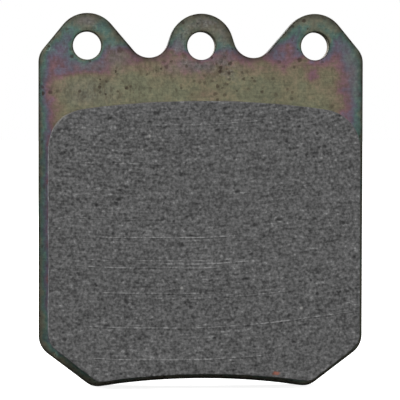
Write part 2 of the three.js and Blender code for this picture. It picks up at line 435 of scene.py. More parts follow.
def plate_material(name="plated_steel", edge=False):
    m = Tree(name)
    irid, rim, soil, scuff, haze = m.attr("irid"), m.attr("rim"), m.attr("speck"), m.attr("scuff"), m.attr("haze")
    mottle = m.attr("mottle")
    centred = lambda v, k: m.math("MULTIPLY", m.math("SUBTRACT", v, 0.5), k)
    t = m.math("ADD", irid, centred(m.noise(3.4, 3.0, 0.6), 0.42))
    t = m.math("ADD", t, centred(m.noise(1.1, 3.0, 0.6), 0.34))
    k = PLATE_K
    col = m.ramp(t, [
        (0.00, srgb(111, 112, 88, k)),
        (0.14, srgb(117, 112, 87, k)),
        (0.27, srgb(120, 105, 86, k)),
        (0.41, srgb(116, 82, 90, k)),
        (0.53, srgb(94, 85, 102, k)),
        (0.64, srgb(82, 93, 101, k)),
        (0.76, srgb(74, 106, 97, k)),
        (0.88, srgb(95, 103, 87, k)),
        (1.00, srgb(101, 98, 81, k)),
    ])
    col = m.mix(haze, col, srgb(104, 100, 99, k))
    # sheet grain: faint lengthwise rolling marks, fine crystals, and cloudy patches in the coating
    roll = m.noise(1.0, 3.0, 0.6, vec=m.mapping(scale=(0.22, 1.0, 3.6)))
    grain = m.noise(0.55, 2.0, 0.7)
    patch = m.noise(1.7, 3.0, 0.65)
    cloud = m.noise(7.0, 3.0, 0.5)
    v = m.math("ADD", 1.0, centred(grain, 1.25))
    v = m.math("ADD", v, centred(roll, 0.55))
    v = m.math("ADD", v, centred(patch, 0.72))
    v = m.math("ADD", v, centred(cloud, 0.34))
    # rubbed places, where the tint is worn to a dull grey with darker scores
    rub = m.math("MULTIPLY", scuff, m.remap(m.noise(1.2, 3.0, 0.65), 0.40, 0.60))
    col = m.mix(m.math("MULTIPLY", rub, 0.60), col, srgb(104, 103, 99, k))
    v = m.math("ADD", v, m.math("MULTIPLY", rub, centred(m.noise(0.5, 2.0, 0.7), 3.2)))
    shade = m.t.nodes.new("ShaderNodeCombineColor")
    for s in range(3):
        m.link(m.math("MAXIMUM", v, 0.25), shade.inputs[s])
    col = m.mix(1.0, col, shade.outputs[0], "MULTIPLY")
    stain = m.math("MULTIPLY", mottle, m.remap(m.noise(0.74, 2.0, 0.65, vec=m.mapping(scale=(1.15, 1.0, 0.6))), 0.45, 0.66))
    col = m.mix(m.math("MULTIPLY", stain, 0.72), col, srgb(66, 56, 40, k))
    # crossing hairlines from handling, on the back
    hair = m.attr("hair")
    lines = None
    for turn, size in ((0.5, 0.34), (-0.9, 0.42), (1.9, 0.38)):
        at = m.mapping(scale=(0.035, 1.0, 1.0), vec=m.mapping(rot=(0, turn, 0)))
        one = m.remap(m.noise(size, 1.0, 0.5, vec=at), 0.62, 0.74)
        one = m.math("MULTIPLY", one, m.remap(m.noise(8.0 + 3 * turn, 2.0, 0.5), 0.50, 0.62))
        lines = one if lines is None else m.math("MAXIMUM", lines, one)
    lines = m.math("MULTIPLY", lines, hair)
    col = m.mix(m.math("MULTIPLY", lines, 0.62), col, srgb(150, 147, 136, k))
    # small dark brown spots in the coating, thickest below and right of the middle ear
    spot = None
    flat = None
    if not edge:
        xz = m.t.nodes.new("ShaderNodeSeparateXYZ")
        m.link(m.co, xz.inputs[0])
        put = m.t.nodes.new("ShaderNodeCombineXYZ")
        m.link(xz.outputs[0], put.inputs[0])
        m.link(xz.outputs[2], put.inputs[1])
        flat = put.outputs[0]
    for size_mm, r0, r1, share in ((1.75, 0.13, 0.16, 0.50), (0.95, 0.15, 0.22, 0.42)):
        dots = m.voronoi(size_mm, rand=1.0, vec=flat)
        sep = m.t.nodes.new("ShaderNodeSeparateColor")
        m.link(m.voronoi(size_mm, rand=1.0, vec=flat, out="Color"), sep.inputs[0])
        here = m.math("GREATER_THAN", m.math("MULTIPLY", soil, share), sep.outputs[0])
        rad = m.math("ADD", r0, m.math("MULTIPLY", sep.outputs[1], r1))
        one = m.math("MULTIPLY", here, m.math("SUBTRACT", 1.0, m.remap(m.math("DIVIDE", dots, rad), 0.55, 1.2)))
        one = m.math("MULTIPLY", one, m.math("ADD", 0.45, m.math("MULTIPLY", sep.outputs[2], 0.55)))
        spot = one if spot is None else m.math("MAXIMUM", spot, one)
    if not edge:
        nudge = lambda v, size: m.math("ADD", v, m.math("MULTIPLY", centred(m.noise(size, 2.0, 0.6), 1.0), 0.0006))
        ragged = m.t.nodes.new("ShaderNodeCombineXYZ")
        m.link(nudge(xz.outputs[0], 0.61), ragged.inputs[0])
        m.link(nudge(xz.outputs[2], 0.57), ragged.inputs[2])
        big = None
        for sx, sz, sr, w in SPOTS:
            far = m.t.nodes.new("ShaderNodeVectorMath")
            far.operation = "DISTANCE"
            m.link(ragged.outputs[0], far.inputs[0])
            far.inputs[1].default_value = (sx * MM, 0.0, sz * MM)
            one = m.remap(far.outputs["Value"], 0.55 * sr * MM, 1.65 * sr * MM, w, 0.0)
            big = one if big is None else m.math("MAXIMUM", big, one)
        big = m.math("MULTIPLY", big, m.math("LESS_THAN", xz.outputs[1], -0.003))
        spot = m.math("MAXIMUM", spot, big)
    col = m.mix(m.math("MULTIPLY", spot, 0.85), col, srgb(50, 35, 22, k))
    # a dark brown edge line: the sheared walls' own tone, with painted shade added on the rounded drawn-down front edge
    # and the face beside it, heaviest where the edge faces up and to the right
    edge_noise = m.math("ADD", 0.80, centred(m.noise(1.4, 2.0, 0.6), 0.9))
    col = m.mix(m.math("MULTIPLY", m.math("MULTIPLY", rim, edge_noise), 0.95, clamp=True), col, srgb(29, 25, 15, k))
    m.link(col, m.bsdf.inputs["Base Color"])
    m.bsdf.inputs["Metallic"].default_value = 0.15 if edge else 0.55
    if edge:
        m.bsdf.inputs["Specular IOR Level"].default_value = 0.12
    rough = m.math("ADD", 0.66 if edge else 0.40, m.math("MULTIPLY", m.noise(1.3, 3.0, 0.6), 0.16))
    rough = m.math("ADD", rough, m.math("MULTIPLY", rub, 0.15))
    rough = m.math("SUBTRACT", rough, m.math("MULTIPLY", lines, 0.12))
    m.link(m.math("ADD", rough, m.math("MULTIPLY", spot, 0.3)), m.bsdf.inputs["Roughness"])
    h = m.math("ADD", m.math("MULTIPLY", grain, 0.7), m.math("MULTIPLY", roll, 0.5))
    h = m.math("SUBTRACT", h, m.math("MULTIPLY", spot, 0.8))
    h = m.math("SUBTRACT", h, m.math("MULTIPLY", lines, 0.5))
    m.link(m.bump(h, 0.03, 0.7), m.bsdf.inputs["Normal"])
    return m.mat


# ------------------------------------------------------- friction material
FACE_K = 0.56
ARC_X, ARC_Z, ARC_R = -8.0, 170.0, 206.0      # the wheel's centre, far above the pad, and the radius at mid face
# long scores left by the wheel: z at the lowest point, from x, to x, half width, strength (mm)
SCORES = [
    (-35.7, -19, 6, 0.14, 1.0), (-40.0, -24, 4, 0.11, 0.7), (-40.6, -12, 8, 0.13, 0.9), (-41.3, -22, 3, 0.13, 0.9),
    (-46.0, -20, 1, 0.12, 0.9), (-46.9, -10, 14, 0.11, 0.7), (-52.4, -20, 29, 0.14, 1.0), (-58.3, -22, 12, 0.14, 0.9),
    (-14.9, -10, 13, 0.11, 0.8), (-22.1, -26, -6, 0.11, 0.7), (-27.9, 4, 22, 0.11, 0.5), (-32.3, -26, -8, 0.10, 0.6),
]


def friction_material(name):
    m = Tree(name)
    groove, pit, side = m.attr("groove"), m.attr("pit"), m.attr("side")
    centred = lambda v, k: m.math("MULTIPLY", m.math("SUBTRACT", v, 0.5), k)
    # place along and across the arcs that the grinding wheel left
    sx = m.t.nodes.new("ShaderNodeSeparateXYZ")
    m.link(m.co, sx.inputs[0])
    dx = m.math("SUBTRACT", sx.outputs[0], ARC_X * MM)
    dz = m.math("SUBTRACT", sx.outputs[2], ARC_Z * MM)
    rad = m.math("SQRT", m.math("ADD", m.math("MULTIPLY", dx, dx), m.math("MULTIPLY", dz, dz)))
    along = m.math("MULTIPLY", m.math("ARCTAN2", dx, m.math("MULTIPLY", dz, -1.0)), ARC_R * MM)
    polar = m.t.nodes.new("ShaderNodeCombineXYZ")
    m.link(along, polar.inputs[0])
    m.link(rad, polar.inputs[1])
    m.link(sx.outputs[1], polar.inputs[2])
    pv = polar.outputs[0]
    g1 = m.noise(0.50, 1.0, 0.6)                                        # the grit of the mix
    g2 = m.noise(1.0, 2.0, 0.5)
    dash = m.noise(0.43, 1.0, 0.5, vec=m.mapping(scale=(0.24, 1.0, 1.0), vec=pv))     # short scores
    score = m.noise(0.42, 1.0, 0.5, vec=m.mapping(scale=(0.05, 1.0, 1.0), vec=pv))   # long scores
    where = m.remap(m.noise(9.0, 2.0, 0.5, vec=m.mapping(scale=(0.5, 1.0, 1.0), vec=pv)), 0.38, 0.62, 0.62, 1.0)
    v = centred(g1, 3.95)
    v = m.math("ADD", v, m.math("MULTIPLY", centred(dash, 2.35), where))
    v = m.math("ADD", v, m.math("MULTIPLY", centred(score, 0.9), where))
    v = m.math("ADD", v, centred(g2, 0.5))
    v = m.math("ADD", v, m.math("MULTIPLY", groove, 0.55))
    wander = m.math("MULTIPLY", centred(m.noise(22.0, 1.0, 0.5, vec=m.mapping(scale=(1.0, 0.25, 1.0), vec=pv)), 1.0), 0.0011)
    rw = m.math("ADD", rad, wander)
    broken = m.remap(m.noise(1.5, 2.0, 0.6, vec=m.mapping(scale=(1.0, 4.0, 1.0), vec=pv)), 0.36, 0.60, 0.15, 1.0)
    lines = None
    for z0, x0, x1, w, amp in SCORES:
        off = m.math("SUBTRACT", rw, (ARC_Z - z0) * MM)
        core = m.remap(m.math("ABSOLUTE", off), 0.0, w * MM, amp, 0.0)
        under = m.remap(m.math("ABSOLUTE", m.math("SUBTRACT", off, 0.21 * MM)), 0.0, 0.15 * MM, 0.55 * amp, 0.0)
        a0, a1 = (x0 - ARC_X) * MM, (x1 - ARC_X) * MM
        gate = m.math("MULTIPLY", m.remap(along, a0 - 0.002, a0 + 0.002), m.remap(along, a1 - 0.002, a1 + 0.002, 1.0, 0.0))
        one = m.math("MULTIPLY", m.math("SUBTRACT", core, under), gate)
        lines = one if lines is None else m.math("ADD", lines, one)
    v = m.math("ADD", v, m.math("MULTIPLY", m.math("MULTIPLY", lines, broken), 1.7))
    k = FACE_K
    col = m.ramp(m.math("ADD", 0.5, m.math("MULTIPLY", v, 0.30)), [
        (0.00, srgb(24, 24, 24, k)),
        (0.25, srgb(65, 65, 65, k)),
        (0.50, srgb(90, 90, 90, k)),
        (0.75, srgb(113, 113, 113, k)),
        (1.00, srgb(152, 152, 152, k)),
    ])
    # bright metal chips, and painted shade in the pits
    chips = m.voronoi(1.15, rand=1.0)
    cc = m.voronoi(1.15, rand=1.0, out="Color")
    cs = m.t.nodes.new("ShaderNodeSeparateColor")
    m.link(cc, cs.inputs[0])
    some = m.remap(cs.outputs[1], 0.80, 0.84)
    chip = m.math("MULTIPLY", some, m.math("SUBTRACT", 1.0, m.remap(chips, 0.10, 0.20)))
    col = m.mix(m.math("MULTIPLY", chip, 0.6), col, srgb(170, 169, 167, k))
    # painted shade: the pits, the crumbled places on the arris and the voids in the sides are darkened
    col = m.mix(m.math("MULTIPLY", pit, 0.8), col, srgb(26, 26, 27, k))
    # a few larger bright chips: x, z, radius (mm)
    large = None
    for cx, cz, cr in ((18.2, -48.8, 0.36), (-10.0, -16.9, 0.34), (-4.0, -45.0, 0.34), (-11.3, -19.4, 0.26), (21.9, -20.9, 0.26), (-14.9, -21.9, 0.28)):
        far = m.t.nodes.new("ShaderNodeVectorMath")
        far.operation = "DISTANCE"
        m.link(m.co, far.inputs[0])
        far.inputs[1].default_value = (cx * MM, BLOCK_FRONT * MM, cz * MM)
        uneven = m.math("ADD", far.outputs["Value"], m.math("MULTIPLY", centred(g1, 1.0), 0.0005))
        one = m.remap(uneven, 0.3 * cr * MM, 1.1 * cr * MM, 1.0, 0.0)
        large = one if large is None else m.math("MAXIMUM", large, one)
    col = m.mix(m.math("MULTIPLY", large, 0.62), col, srgb(176, 175, 172, k))
    col = m.mix(m.math("MULTIPLY", side, 0.55), col, srgb(62, 61, 59, k))
    # the odd rust-red crumb
    red = m.t.nodes.new("ShaderNodeVectorMath")
    red.operation = "LENGTH"
    at = (0.01355, BLOCK_FRONT * MM, -0.0609)
    m.link(m.mapping(scale=(0.55, 1.0, 1.0), loc=(-at[0] * 0.55, -at[1], -at[2])), red.inputs[0])
    ragged = m.math("ADD", red.outputs["Value"], m.math("MULTIPLY", centred(m.noise(0.4, 2.0), 1.0), 0.0006))
    crumb = m.math("SUBTRACT", 1.0, m.remap(ragged, 0.00012, 0.00052))
    col = m.mix(m.math("MULTIPLY", crumb, 0.62), col, srgb(168, 84, 52, k))
    m.link(col, m.bsdf.inputs["Base Color"])
    m.link(m.math("MULTIPLY", chip, 0.7), m.bsdf.inputs["Metallic"])
    r = m.math("SUBTRACT", 0.82, m.math("MULTIPLY", chip, 0.42))
    m.link(m.math("SUBTRACT", r, centred(g2, 0.18)), m.bsdf.inputs["Roughness"])
    m.bsdf.inputs["Specular IOR Level"].default_value = 0.3
    h = m.math("ADD", m.math("MULTIPLY", g1, 1.0), m.math("MULTIPLY", dash, 0.7))
    m.link(m.bump(h, 0.06, 0.8), m.bsdf.inputs["Normal"])
    return m.mat


def underlayer_material():
    m = Tree("moulded_underlayer")
    g1, g2, g3 = m.noise(0.5, 3.0, 0.6), m.noise(2.4, 3.0, 0.55), m.noise(0.25, 2.0, 0.6)
    flecks = m.voronoi(0.9, rand=1.0)
    cc = m.voronoi(0.9, rand=1.0, out="Color")
    cs = m.t.nodes.new("ShaderNodeSeparateColor")
    m.link(cc, cs.inputs[0])
    v = m.math("ADD", m.math("MULTIPLY", g1, 0.65), m.math("MULTIPLY", g2, 0.35))
    col = m.ramp(v, [
        (0.25, srgb(44, 43, 41, 0.9)),
        (0.5, srgb(66, 64, 61, 0.9)),
        (0.75, srgb(92, 89, 84, 0.9)),
    ])
    fleck = m.math("MULTIPLY", m.remap(cs.outputs[0], 0.72, 0.78), m.math("SUBTRACT", 1.0, m.remap(flecks, 0.10, 0.24)))
    col = m.mix(m.math("MULTIPLY", fleck, 0.65), col, srgb(150, 122, 74, 0.9))
    m.link(col, m.bsdf.inputs["Base Color"])
    m.link(m.math("ADD", 0.72, m.math("MULTIPLY", g3, 0.2)), m.bsdf.inputs["Roughness"])
    m.bsdf.inputs["Specular IOR Level"].default_value = 0.3
    m.link(m.bump(m.math("ADD", g1, m.math("MULTIPLY", g3, 0.5)), 0.08, 0.8), m.bsdf.inputs["Normal"])
    return m.mat


def film_material():
    m = Tree("cured_resin")
    g = m.noise(0.6, 3.0, 0.6)
    col = m.ramp(g, [(0.3, srgb(60, 62, 65)), (0.5, srgb(96, 98, 101)), (0.7, srgb(128, 131, 134))])
    sx = m.t.nodes.new("ShaderNodeSeparateXYZ")
    m.link(m.co, sx.inputs[0])
    # painted highlight: the film keeps its pale grey only along the lower left edge of the block, where that edge
    # catches the light; everywhere else it is mixed to dark brown
    lean = m.math("ADD", sx.outputs[0], m.math("MULTIPLY", m.noise(4.0, 2.0), 0.003))
    dark = m.math("MAXIMUM", m.remap(lean, -0.0262, -0.0242), m.remap(sx.outputs[2], -0.0170, -0.0145))
    col = m.mix(dark, col, srgb(58, 52, 42))
    m.link(col, m.bsdf.inputs["Base Color"])
    m.link(m.math("ADD", 0.3, m.math("MULTIPLY", g, 0.35)), m.bsdf.inputs["Roughness"])
    m.link(m.bump(g, 0.04, 0.6), m.bsdf.inputs["Normal"])
    return m.mat


# ------------------------------------------------------------- backing plate
# where the coating takes another tint: centre x, z, reach x, z (mm), tint, strength
TINTS = [
    (-11.5, -3.8, 4.1, 1.2, 0.24, 0.7), (-22.8, -4.0, 3.8, 0.9, 0.47, 0.8), (-17.6, -2.7, 1.8, 1.1, 0.40, 0.6),
    (-25.1, 3.2, 1.4, 1.3, 0.74, 0.8), (-18.5, 2.3, 1.5, 1.5, 0.71, 0.9), (-27.2, 0.3, 1.3, 1.2, 0.75, 0.85),
    (-27.6, -1.8, 1.5, 1.1, 0.56, 0.9), (-26.4, -2.6, 1.8, 1.0, 0.56, 0.85), (-27.0, -5.0, 1.7, 1.1, 0.38, 1.0), (-15.7, -0.2, 0.9, 1.3, 0.93, 0.8), (-15.6, -2.0, 2.6, 1.7, 0.22, 0.9),
    (-30.0, -4.9, 0.9, 2.6, 0.75, 0.9), (-28.5, -9.6, 0.85, 3.8, 0.40, 0.95), (-27.3, -12.6, 0.9, 2.2, 0.24, 0.8),
    (-5.5, -1.3, 1.4, 1.3, 0.43, 0.7), (-4.0, 1.1, 1.2, 1.0, 0.66, 0.5), (-3.3, 2.5, 0.8, 0.8, 0.76, 0.9),
    (5.3, 0.7, 0.8, 0.9, 0.76, 0.8), (5.0, -1.8, 1.3, 1.3, 0.37, 0.9), (-0.6, -3.9, 3.2, 0.9, 0.42, 0.5),
    (11.4, -3.4, 3.8, 0.9, 0.22, 0.7), (16.2, -0.6, 1.6, 1.3, 0.41, 0.95), (17.0, 1.1, 1.1, 0.8, 0.55, 0.8),
    (18.8, -2.6, 1.0, 0.9, 0.31, 0.7), (19.1, 3.4, 1.5, 1.1, 0.73, 0.9), (23.3, 2.7, 1.1, 1.1, 0.77, 0.85),
    (25.7, 0.0, 1.1, 1.3, 0.52, 0.8), (28.3, -2.7, 1.5, 2.6, 0.70, 0.8), (21.0, -4.3, 2.3, 1.0, 0.31, 0.7),
    (20.9, -5.6, 1.3, 1.4, 0.47, 1.0), (26.5, -9.2, 1.2, 4.9, 0.40, 0.85), (29.3, -9.2, 0.9, 3.8, 0.71, 0.9),
    (25.2, -11.3, 1.1, 1.4, 0.25, 0.7), (-21.3, 5.4, 4.6, 0.7, 0.96, 0.7), (0.0, 5.0, 4.0, 0.8, 0.96, 0.7),
    (21.3, 5.4, 4.6, 0.7, 0.96, 0.7),
    (-4.0, -8.9, 2.2, 1.0, 0.0, 0.9), (1.6, -9.0, 3.4, 1.0, 0.27, 0.6), (-13.9, -6.4, 1.8, 1.2, 0.0, 0.75), (-19.5, 3.2, 1.2, 0.9, 0.66, 0.6),
]
# where it is dulled to grey
HAZES = [
    (-20.6, -3.8, 3.4, 1.0, 0.60), (-21.0, -8.6, 5.0, 2.6, 0.30), (-15.8, -2.2, 2.2, 2.4, 0.60), (-0.5, -3.6, 3.4, 1.1, 0.75), (28.4, -2.6, 1.6, 2.8, 0.50),
    (-22.0, 4.6, 2.0, 0.7, 0.85), (1.8, 4.6, 2.6, 0.8, 0.70), (-4.2, 0.4, 1.2, 1.3, 0.45), (4.4, 2.8, 1.0, 1.6, 0.55),
    (-5.2, -4.2, 2.2, 1.2, 0.35), (3.2, -2.7, 1.3, 1.2, 0.65),
    (28.9, -6.5, 1.7, 3.2, 0.65),
]


def build_plate(material, edge_material):
    b = Builder()
    step = 0.42
    P = plate_outline(step)
    N = normals2(P)
    n = len(P)
    s = np.arange(n) * step

    def colour_field(x, z, d_edge):
        """0..1: which interference colour the coating shows, by place. It runs from straw over the broad band to blue-green at the outer edges."""
        wx, wz = fbm(x / 2.6, z / 2.6, 0.0, 13, 3), fbm(x / 2.6, z / 2.6, 0.0, 17, 3)
        side = HALF_W - np.abs(x + 0.45 * wx)
        side = np.where(x < 0, side * 1.4, side)
        side = np.where(z < -50, np.minimum(side, d_edge + 0.2 * wx), side)
        low = 0.3 + 3.0 * smooth(-6.3, -4.6, z) * (1 - 0.75 * smooth(-3.0, 1.5, z))
        shift = low * np.exp(-(((x + 22.0) / 5.5) ** 4)) + 0.5 * np.exp(-((x - 22.0) / 5.0) ** 2)
        up = np.interp(z + shift, [-7.0, -5.6, -4.0, -2.8, -1.6, -0.4, 0.8, 2.2, 3.6, 4.6, 5.8],
                                  [0.02, 0.12, 0.25, 0.36, 0.43, 0.52, 0.62, 0.74, 0.82, 0.90, 1.0])
        mid = np.exp(-(x / 8.0) ** 4)
        up = up * (1 - mid) + mid * np.interp(z + 0.3 * wz, [-8.5, -6.6, -4.8, -3.4, -1.4, 0.2, 1.8, 3.0, 6.2],
                                                           [0.04, 0.16, 0.27, 0.34, 0.42, 0.66, 0.86, 0.93, 1.0])
        out = np.interp(side, [0.0, 0.5, 1.3, 2.0, 2.8, 3.9, 5.4, 8.0],
                              [0.96, 0.84, 0.74, 0.56, 0.43, 0.28, 0.14, 0.02])
        t = (np.maximum(up, 0) ** 5 + out ** 5) ** 0.2
        for cx, cz, rx, rz, want, w in TINTS:
            q = ((x - cx + 0.5 * wx) / rx) ** 2 + ((z - cz + 0.5 * wz) / rz) ** 2
            t = t + w * np.exp(-q) * (want - t)
        hole = np.min([np.hypot(x - cx, z - cz) for cx, cz in PINS], axis=0) - PIN_R
        ring = np.exp(-((hole - 0.1) / 0.55) ** 2)
        t = t + ring * (0.93 - t) * 0.75 * smooth(0.36, 0.62, t)
        foot = np.exp(-(d_edge / 0.75) ** 2)
        t = t + foot * (0.94 - t) * 0.6 * smooth(0.45, 0.70, t) * smooth(-6.0, -2.0, z)
        t = t + 0.10 * fbm(x / 5.0, z / 5.0, 0.0, 11, 3) + 0.07 * fbm(x / 1.6, z / 1.6, 0.0, 23, 2)
        return np.clip(t, 0, 1)

    def back_field(x, z, d_edge):
        """the same for the back, which carries loose patches of tint and a darker border"""
        t = 0.16 + 0.20 * fbm(x / 13.0, z / 9.0, 0.0, 71, 3) + 0.27 * smooth(0.05, 0.70, fbm(x / 11.0, z / 8.0, 0.0, 73, 3))
        out = np.interp(d_edge + 0.5 * fbm(x / 3.0, z / 3.0, 0.0, 77, 3), [0.0, 0.7, 1.6, 2.8, 4.5, 7.0], [0.92, 0.74, 0.52, 0.36, 0.20, 0.0])
        hole = np.min([np.hypot(x - cx, z - cz) - PIN_R for cx, cz in PINS] + [np.hypot(x - cx, z - cz) - LOCK_R for cx, cz in LOCKS], axis=0)
        ring = np.exp(-((hole - 0.2) / 0.8) ** 2)
        t = np.maximum(t, out)
        t = t + ring * (0.62 - t) * 0.7
        return np.clip(t + 0.08 * fbm(x / 1.8, z / 1.8, 0.0, 89, 2), 0, 1)

    def spread(x, z, spots, base):
        v = np.full_like(x, base)
        for cx, cz, rx, rz, w in spots:
            v = np.maximum(v, w * np.exp(-((x - cx) / rx) ** 2 - ((z - cz) / rz) ** 2))
        return v

    def speck_field(x, z):
        return spread(x, z, [(3.5, -5.6, 2.8, 3.8, 0.8), (8.6, -6.4, 3.4, 2.2, 0.4), (-6.0, -4.6, 3.2, 2.2, 0.4),
                             (-14.0, -8.4, 9.0, 2.0, 0.35), (-3.2, -2.6, 1.6, 1.6, 0.9)], 0.02)

    def mottle_field(x, z):
        return spread(x, z, [(3.2, -4.6, 3.0, 4.5, 0.75), (-18.0, -8.2, 11.0, 3.2, 0.75), (-9.0, -5.0, 7.0, 3.0, 0.7),
                             (2.0, 4.2, 3.5, 1.8, 0.8), (-29.7, -30.0, 1.2, 24.0, 0.8), (-17.0, -1.0, 3.0, 3.0, 0.7),
                             (-25.0, 0.0, 4.0, 4.0, 0.5)], 0.28)

    def haze_field(x, z):
        h = np.zeros_like(x)
        for cx, cz, rx, rz, w in HAZES:
            h = np.maximum(h, w * np.exp(-((x - cx) / rx) ** 2 - ((z - cz) / rz) ** 2))
        return np.clip(h * (1 + 0.8 * fbm(x / 1.7, z / 1.1, 0.0, 19, 3)) + 0.06, 0, 1)

    def scuff_field(x, z):
        around = np.exp(-((np.hypot(x, z) - 3.9) / 1.5) ** 2) * (0.75 + 0.25 * np.sin(np.arctan2(z, x) - 2.2))
        tops = np.exp(-(((x + 21.0) / 2.0) ** 2 + ((z - 4.2) / 0.9) ** 2)) * 0.7
        crown = np.exp(-(((x - 1.0) / 3.0) ** 2 + ((z - 4.6) / 0.9) ** 2)) * 0.8
        below = np.exp(-(((x - 5.0) / 2.2) ** 2 + ((z + 4.6) / 2.6) ** 2)) * 0.8
        return np.clip(around + tops + crown + below, 0, 1)

    def ring(points, y, dy=0.0, inset=0.0, rim=0.0, wob=0.0, irid=None):
        q = points - normals2(points) * np.asarray(inset).reshape(-1, 1) if np.ndim(inset) or inset else points
        yy = np.broadcast_to(np.asarray(y + dy, float), (len(points),))
        t = colour_field(q[:, 0], q[:, 1], np.zeros(len(q))) if irid is None else irid
        return b.add(np.stack([q[:, 0], yy, q[:, 1]], 1), irid=t, rim=rim, speck=0.35, scuff=0.15)

    # outer wall from the drawn-down front edge, over the bright sheared land, to the torn back part
    roll_d, roll_h = 0.46, 0.36
    front_ring = None
    rings = []
    for k in range(6):
        a = math.pi / 2 * k / 5
        inset = roll_d * (1 - math.sin(a))
        y = PLATE_FRONT + roll_h * (1 - math.cos(a))
        # painted shade on the rounded front edge, darkest on the middle of the roll and stronger where the edge faces
        # up and to the right
        turned = smooth(-0.2, 0.9, N @ np.array([0.62, 0.78])) * (P[:, 1] > -9)
        rings.append(ring(P, y, inset=inset, rim=np.array([0.62, 0.9, 1.0, 1.0, 0.95, 0.85][k]) + [0.20, 0.15, 0.10, 0.05, 0.0, 0.0][k] * turned))
    front_ring = rings[0]
    # how squarely the nearest outer edge faces up and to the right, which sets how far the painted shade reaches onto
    # the face
    def EDGE_SHADE_LEAN(x, z):
        near = np.argmin((x[:, None] - P[None, ::3, 0]) ** 2 + (z[:, None] - P[None, ::3, 1]) ** 2, axis=1) * 3
        return (N[near] @ np.array([0.62, 0.78])) * (z > -9)

    depth = PLATE_BACK - PLATE_FRONT
    land = 0.42 + 0.05 * fbm(s / 9.0, 0 * s, 0.0, 5, 3)      # how deep the smooth sheared part goes
    for k in range(1, 13):
        u = k / 13
        y = PLATE_FRONT + roll_h + (depth - roll_h - 0.12) * u
        torn = smooth(0, 0.10, u - land)
        score = 0.014 * vnoise(s / 0.55, u * 2.0, 0.0, 31)
        tear = (0.05 * fbm(s / 0.9, u * 5.0, 0.0, 37, 3) + 0.035) * torn
        t = 0.30 + 0.30 * fbm(s / 7.0, u * 1.4, 0.0, 41, 3) + 0.25 * torn
        rings.append(ring(P, y, inset=0.018 + score + tear, rim=0.70 + 0.15 * torn, irid=np.clip(t, 0, 1)))
    burr = 0.02 * (1 + vnoise(s / 1.1, 0 * s, 0.0, 43))
    rings.append(ring(P, PLATE_BACK - 0.10, inset=0.02, rim=0.2))
    rings.append(ring(P, PLATE_BACK - 0.02, dy=0 * burr, inset=0.07, rim=0.35))
    rings.append(ring(P, PLATE_BACK, inset=0.16, rim=0.25))
    for a, c in zip(rings, rings[1:]):
        b.band(a, c, n)
    back_ring = rings[-1]

    # pin holes and lock holes: rings from the front mouth to the back mouth
    fronts, backs = [], []
    for (cx, cz), r, roll in [(c, PIN_R, 0.30) for c in PINS] + [(c, LOCK_R, 0.15) for c in LOCKS]:
        m = 96 if r == PIN_R else 72
        u0 = np.arange(m) * 2 * math.pi / m
        rs = []
        for k in range(6):
            a = math.pi / 2 * k / 5
            rad = r + roll * (1 - math.sin(a))
            y = PLATE_FRONT + roll * 0.8 * (1 - math.cos(a))
            q = circle((cx, cz), rad, m)
            # painted shade on the rounded mouth of each hole, darkest on the middle of the roll
            rs.append(b.add(np.stack([q[:, 0], np.full(m, y), q[:, 1]], 1),
                            irid=colour_field(q[:, 0], q[:, 1], distance(P, q)), rim=[0.3, 0.7, 0.95, 1.0, 0.9, 0.7][k], speck=0.2))
        for k in range(1, 10):
            u = k / 10
            y = PLATE_FRONT + roll * 0.8 + (depth - roll * 0.8 - 0.1) * u
            torn = smooth(0, 0.12, u - 0.5 - 0.05 * np.cos(3 * u0))
            rad = r + 0.008 * vnoise(u0 * 9, u * 2, 0.0, 51) + (0.045 + 0.03 * fbm(u0 * 5, u * 4, 0.0, 53, 2)) * torn
            q = np.stack([cx + rad * np.cos(u0), np.full(m, y), cz + rad * np.sin(u0)], 1)
            rs.append(b.add(q, irid=np.clip(0.16 + 0.12 * fbm(u0 * 2, u * 2, 0.0, 57, 2), 0, 1), rim=0.42 + 0.22 * torn, speck=0.2))
        for y, extra, w in ((PLATE_BACK - 0.1, 0.05, 0.25), (PLATE_BACK, 0.16, 0.3)):
            q = circle((cx, cz), r + extra, m)
            rs.append(b.add(np.stack([q[:, 0], np.full(m, y), q[:, 1]], 1), irid=0.3, rim=w, speck=0.2))
        for a, c in zip(rs, rs[1:]):
            b.band(a, c, m, flip=True)
        fronts.append((rs[0], m, circle((cx, cz), r + roll, m)))
        backs.append((rs[-1], m, circle((cx, cz), r + 0.16, m)))

    # flat faces, very slightly wavy as rolled sheet is
    for start, y, inset, holes, flip in ((front_ring, PLATE_FRONT, roll_d, fronts, False), (back_ring, PLATE_BACK, 0.16, backs, True)):
        outer = P - N * inset
        loops = [outer] + [h[2] for h in holes]
        pts, tris = fill(loops, 0.80, 0.34)
        base = sum(len(l) for l in loops)
        inner = pts[base:]
        d = distance(P, inner)
        for cx, cz in PINS:
            d = np.minimum(d, np.hypot(inner[:, 0] - cx, inner[:, 1] - cz) - PIN_R)
        near = smooth(0.4, 1.6, d)
        wave = 0.014 * fbm(inner[:, 0] / 6.0, inner[:, 1] / 6.0, 0.0, 61 if flip else 62, 3) * near
        yy = y + (np.abs(wave) if not flip else -np.abs(wave))
